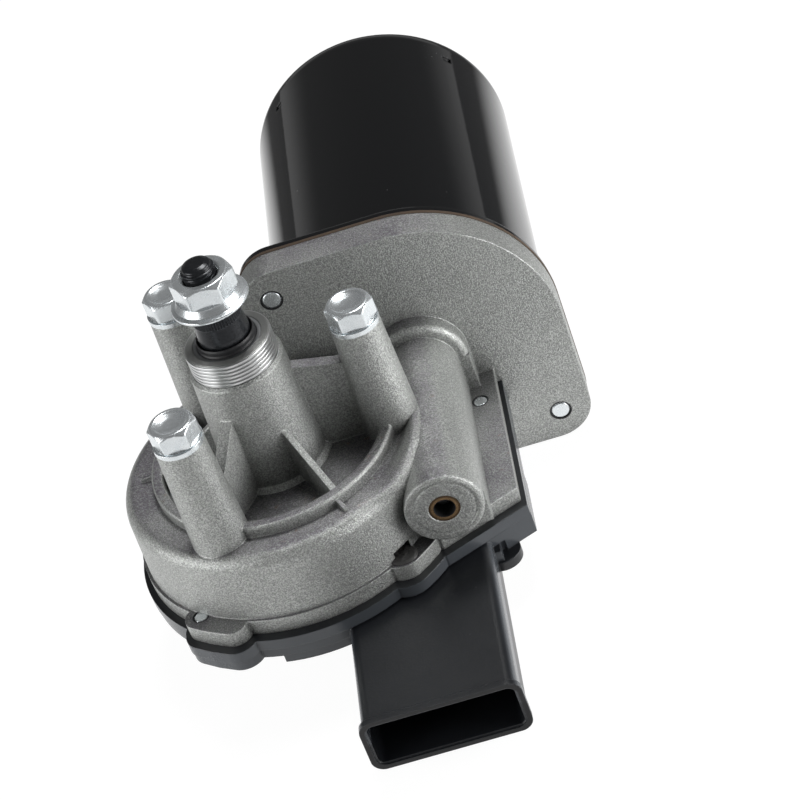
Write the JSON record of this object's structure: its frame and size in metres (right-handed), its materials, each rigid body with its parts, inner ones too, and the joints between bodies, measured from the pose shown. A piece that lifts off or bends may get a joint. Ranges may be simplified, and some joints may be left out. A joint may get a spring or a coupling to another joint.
{
  "type": "windscreen wiper motor",
  "caption": "Wiper motor: black steel motor can on a die-cast worm gearbox with mounting posts, serrated output shaft with flange nut, and plastic cover with connector shroud.",
  "frame": {"origin": "on the output shaft's axis, in the plane of the three mounting post tops", "axes": "+Z the way the output shaft leaves, +Y along the motor can away from the gearbox, +X towards the worm's side of the gearbox"},
  "size_m": [0.1103, 0.2054, 0.0984],
  "materials": {
    "cast_aluminium": "shot-blasted die casting",
    "black_paint": "gloss black paint",
    "cover_plastic": "satin moulded plastic",
    "zinc_steel": "bright zinc plate",
    "dark_steel": "phosphated and oiled",
    "plain_steel": "ground",
    "bronze": "sintered, oil filled",
    "copper": "enamelled wire and drawn bar",
    "brass_strip": "stamped strip",
    "seal_rubber": "moulded rubber",
    "gasket_fibre": "brown fibre sheet",
    "gear_plastic": "moulded acetal",
    "card_plastic": "phenolic moulding",
    "ferrite": "ground ferrite",
    "carbon": "pressed carbon",
    "tin_plate": "tinned"
  },
  "bodies": {
    "gearbox": {"gear_housing": "cast_aluminium", "upper_bush": "bronze", "lower_bush": "bronze", "shaft_seal": "seal_rubber", "worm_bush": "bronze", "bearing_outer_ring": "plain_steel", "bearing_balls": "plain_steel", "bearing_retainer": "plain_steel", "gear_cover": "cover_plastic", "connector_terminals": "tin_plate", "park_contacts": "brass_strip", "shaft_thrust_pad": "gear_plastic", "cover_screws": "zinc_steel", "mounting_bolts": "zinc_steel", "bolt_washers": "zinc_steel", "motor_can": "black_paint", "can_gasket": "gasket_fibre", "can_screws": "zinc_steel", "field_magnets": "ferrite", "magnet_clips": "plain_steel", "rear_bush": "bronze", "rear_bush_clip": "plain_steel", "thrust_pad": "gear_plastic", "brush_card": "card_plastic", "brush_holders": "brass_strip", "carbon_brushes": "carbon", "brush_springs": "plain_steel", "radio_chokes": "copper", "suppression_capacitor": "gear_plastic", "thermal_breaker": "card_plastic", "motor_leads": "copper"},
    "output": {"output_shaft": "dark_steel", "worm_wheel": "gear_plastic", "park_disc": "brass_strip", "wheel_shim": "plain_steel", "clip_washer": "plain_steel", "shaft_clip": "plain_steel", "flange_nut": "zinc_steel"},
    "armature": {"armature_shaft": "plain_steel", "bearing_inner_ring": "plain_steel", "lamination_stack": "plain_steel", "armature_windings": "copper", "commutator_bars": "copper", "commutator_core": "card_plastic"}
  },
  "joints": [
    {"name": "armature_spin", "type": "hinge", "parent": "gearbox", "child": "armature", "pos_m": [0.0355, 0, -0.0354], "axis": [0, 1, 0], "continuous": true},
    {"name": "output_spin", "type": "hinge", "parent": "gearbox", "child": "output", "pos_m": [0, 0, 0], "axis": [0, 0, 1], "continuous": true}
  ],
  "couplings": [
    {"joint": "output_spin", "follows": "armature_spin", "ratio": -0.020833}
  ]
}
